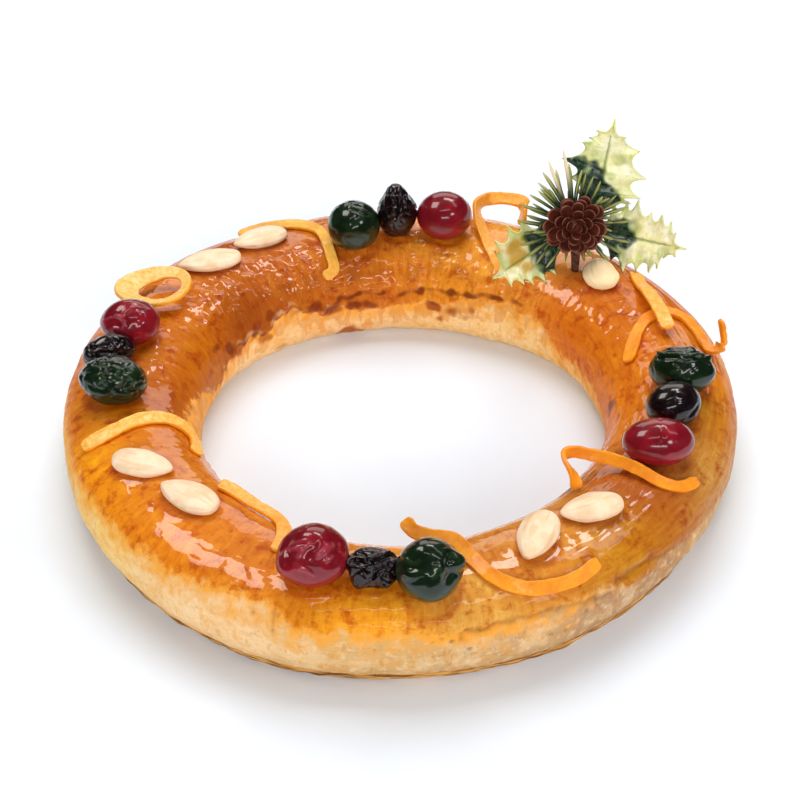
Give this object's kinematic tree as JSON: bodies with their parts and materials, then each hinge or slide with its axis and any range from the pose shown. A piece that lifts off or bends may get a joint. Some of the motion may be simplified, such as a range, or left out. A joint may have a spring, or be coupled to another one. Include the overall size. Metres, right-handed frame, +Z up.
{
  "type": "christmas wreath pastry",
  "caption": "Glazed puff pastry ring topped with candied cherries, blanched almonds, strips of orange peel and a festive pick of pine cone, needles and holly leaves.",
  "frame": {"origin": "centre of the ring's outline, on the flat underside that it stands on", "axes": "+Z up through the ring's open hole, -Y towards the side seen in front, +X to the right as seen from there, with the pick of cone and leaves at the right of the back"},
  "size_m": [0.24, 0.24, 0.0764],
  "materials": {
    "pastry": "baked puff pastry, glazed amber on top and pale and dry at the sides",
    "cherry_red": "candied red cherry, wet gloss",
    "cherry_green": "candied green cherry, wet gloss",
    "cherry_dark": "candied black cherry, wet gloss",
    "almond": "blanched almond, dry satin",
    "peel_orange": "candied orange peel, satin skin and rough pith",
    "peel_yellow": "candied lemon peel, satin skin and rough pith",
    "leaf": "variegated holly leaf, satin",
    "cone": "dry pine cone scales",
    "stem": "dry brown stem",
    "needles": "green needles, satin"
  },
  "bodies": {
    "root": {"pastry_ring": "pastry", "cherry_red_front": "cherry_red", "cherry_dark_front": "cherry_dark", "cherry_green_front": "cherry_green", "cherry_red_left": "cherry_red", "cherry_dark_left": "cherry_dark", "cherry_green_left": "cherry_green", "cherry_red_back": "cherry_red", "cherry_dark_back": "cherry_dark", "cherry_green_back": "cherry_green", "cherry_red_right": "cherry_red", "cherry_dark_right": "cherry_dark", "cherry_green_right": "cherry_green", "almond_back_outer": "almond", "almond_back_inner": "almond", "almond_left_outer": "almond", "almond_left_inner": "almond", "almond_front_left": "almond", "almond_front_right": "almond", "almond_by_pick": "almond", "peel_arch": "peel_yellow", "peel_left": "peel_orange", "peel_inner": "peel_orange", "peel_front": "peel_orange", "peel_folded": "peel_orange", "peel_straight": "peel_orange", "peel_hooked": "peel_orange", "peel_standing": "peel_orange", "peel_loop": "peel_yellow", "pine_cone": "cone", "cone_stem": "stem", "needle_tuft": "needles", "leaf_top": "leaf", "leaf_right": "leaf", "leaf_left": "leaf"}
  },
  "joints": []
}
